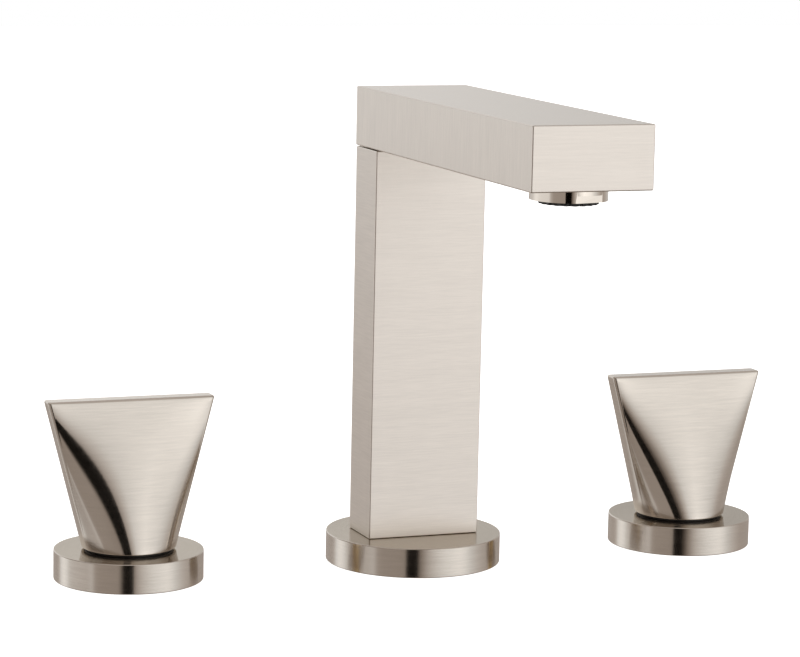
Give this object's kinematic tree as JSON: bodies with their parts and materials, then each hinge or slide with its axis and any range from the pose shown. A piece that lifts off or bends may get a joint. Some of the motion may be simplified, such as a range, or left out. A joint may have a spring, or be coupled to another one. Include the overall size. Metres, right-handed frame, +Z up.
{
  "type": "widespread bathroom faucet",
  "caption": "Deck-mounted bathroom faucet with a square bar spout on a round base plate and a separate quarter-turn blade knob and valve on each side.",
  "frame": {"origin": "centre of the spout's deck hole, on the top surface of the deck", "axes": "+X to the right-hand handle, +Y to the back, +Z up; the spout reaches towards -Y"},
  "size_m": [0.2604, 0.17, 0.2426],
  "materials": {
    "brushed_nickel": "satin nickel plate, brushed",
    "polished_nickel": "polished nickel plate",
    "brass": "machined",
    "copper": "drawn copper tube",
    "steel": "stainless, plain",
    "black_plastic": "moulded, matt",
    "white_nylon": "moulded, natural",
    "black_rubber": "moulded",
    "white_ceramic": "lapped alumina"
  },
  "bodies": {
    "faucet": {"spout_arm": "brushed_nickel", "spout_column": "brushed_nickel", "spout_base_plate": "brushed_nickel", "spout_deck_gasket": "black_rubber", "waterway_tube": "copper", "aerator_socket": "brass", "aerator_housing": "polished_nickel", "aerator_insert": "black_plastic", "aerator_screen": "steel", "aerator_seal": "black_rubber", "spout_shank": "brass", "shank_seal": "black_rubber", "spout_rubber_washer": "black_rubber", "spout_steel_washer": "steel", "spout_locknut": "brass", "hose_tee": "brass", "left_fixed_disc": "white_ceramic", "left_seat_seal": "black_rubber", "left_cartridge_body": "brass", "left_bonnet_nut": "brass", "left_valve_body": "brass", "left_base_plate": "brushed_nickel", "left_deck_gasket": "black_rubber", "left_rubber_washer": "black_rubber", "left_steel_washer": "steel", "left_locknut": "brass", "right_fixed_disc": "white_ceramic", "right_seat_seal": "black_rubber", "right_cartridge_body": "brass", "right_bonnet_nut": "brass", "right_valve_body": "brass", "right_base_plate": "brushed_nickel", "right_deck_gasket": "black_rubber", "right_rubber_washer": "black_rubber", "right_steel_washer": "steel", "right_locknut": "brass"},
    "left_handle": {"left_knob": "brushed_nickel", "left_set_screw": "steel", "left_glide_ring": "black_plastic", "left_spline_adapter": "white_nylon", "left_valve_stem": "brass", "left_stem_o_ring": "black_rubber", "left_turning_disc": "white_ceramic"},
    "right_handle": {"right_knob": "brushed_nickel", "right_set_screw": "steel", "right_glide_ring": "black_plastic", "right_spline_adapter": "white_nylon", "right_valve_stem": "brass", "right_stem_o_ring": "black_rubber", "right_turning_disc": "white_ceramic"}
  },
  "joints": [
    {"name": "left_handle_turn", "type": "hinge", "parent": "faucet", "child": "left_handle", "pos_m": [-0.1016, 0, 0.0109], "axis": [0, 0, 1], "range_deg": [0, 90]},
    {"name": "right_handle_turn", "type": "hinge", "parent": "faucet", "child": "right_handle", "pos_m": [0.1016, 0, 0.0109], "axis": [0, 0, 1], "range_deg": [-90, 0]}
  ]
}
